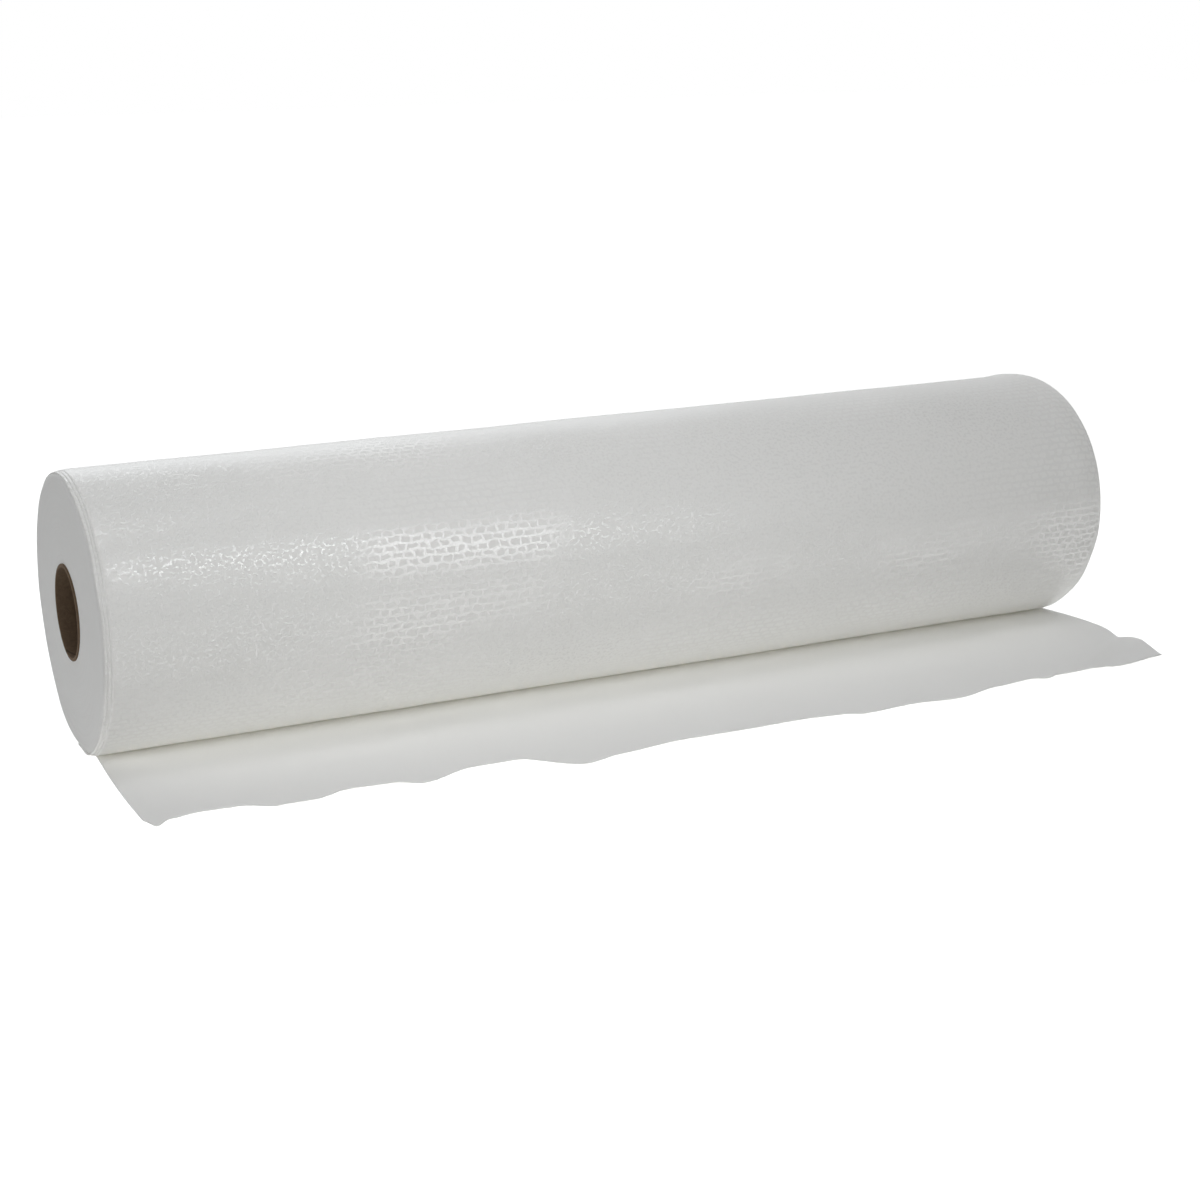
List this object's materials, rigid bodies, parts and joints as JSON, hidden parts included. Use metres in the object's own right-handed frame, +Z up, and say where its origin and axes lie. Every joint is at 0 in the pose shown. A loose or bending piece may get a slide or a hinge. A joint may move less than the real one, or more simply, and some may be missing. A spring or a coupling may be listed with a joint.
{
  "type": "absorbent bench paper roll",
  "caption": "White embossed absorbent paper wound on an open cardboard core, lying on its side with a short torn tail pulled out flat in front.",
  "frame": {"origin": "on the bench, at the roll's flat spot below the middle of the winding axis", "axes": "+X along the winding axis, -Y the way the torn tail points, +Z up from the bench"},
  "size_m": [0.5047, 0.1802, 0.1215],
  "materials": {
    "paper": "satin",
    "cardboard": "matte"
  },
  "bodies": {
    "root": {"paper_roll": "paper", "cardboard_core": "cardboard"}
  },
  "joints": []
}
